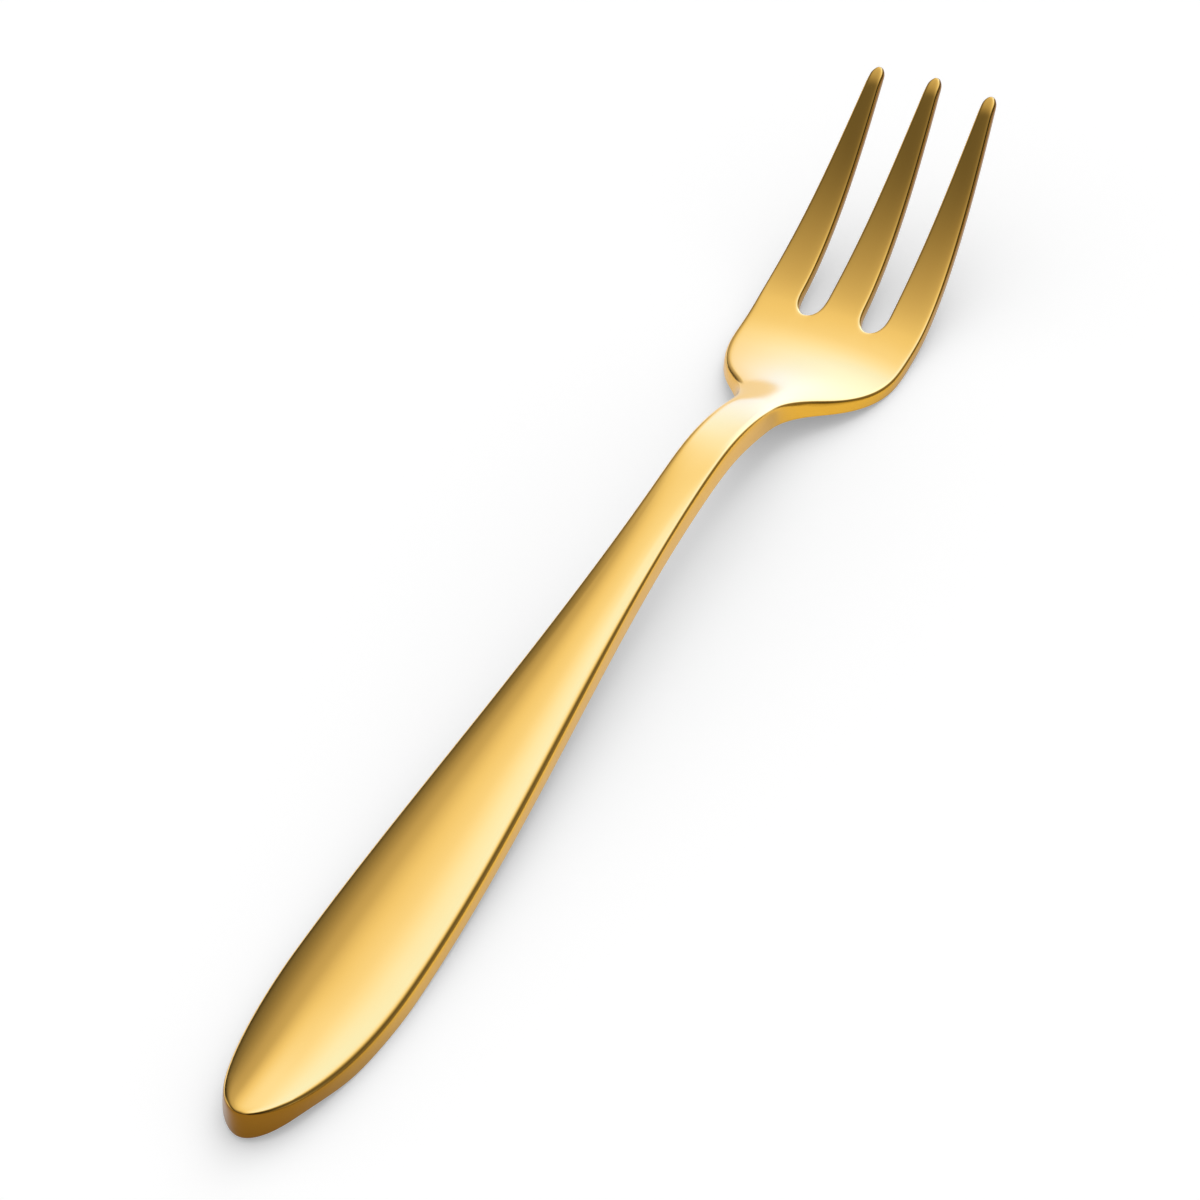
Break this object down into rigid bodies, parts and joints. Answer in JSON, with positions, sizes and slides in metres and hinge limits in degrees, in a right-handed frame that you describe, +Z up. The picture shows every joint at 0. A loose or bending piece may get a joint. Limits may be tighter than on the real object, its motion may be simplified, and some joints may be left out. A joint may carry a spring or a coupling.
{
  "type": "oyster fork",
  "caption": "Slender oyster fork: oval-ended crowned handle, narrow raised neck and a rounded head with upswept tapering tines, for lifting shellfish.",
  "frame": {"origin": "on the table plane, under the middle of the fork's length and width", "axes": "+Z up from the table, +Y from the butt of the handle to the tine tips, +X to the right seen from the butt"},
  "size_m": [0.0172, 0.1434, 0.0161],
  "materials": {
    "gold_steel": "mirror-polished stainless steel under a thin gold-coloured vapour coating"
  },
  "bodies": {
    "root": {"handle": "gold_steel", "neck": "gold_steel", "root": "gold_steel", "tine_left": "gold_steel", "tine_middle": "gold_steel", "tine_right": "gold_steel"}
  },
  "joints": []
}
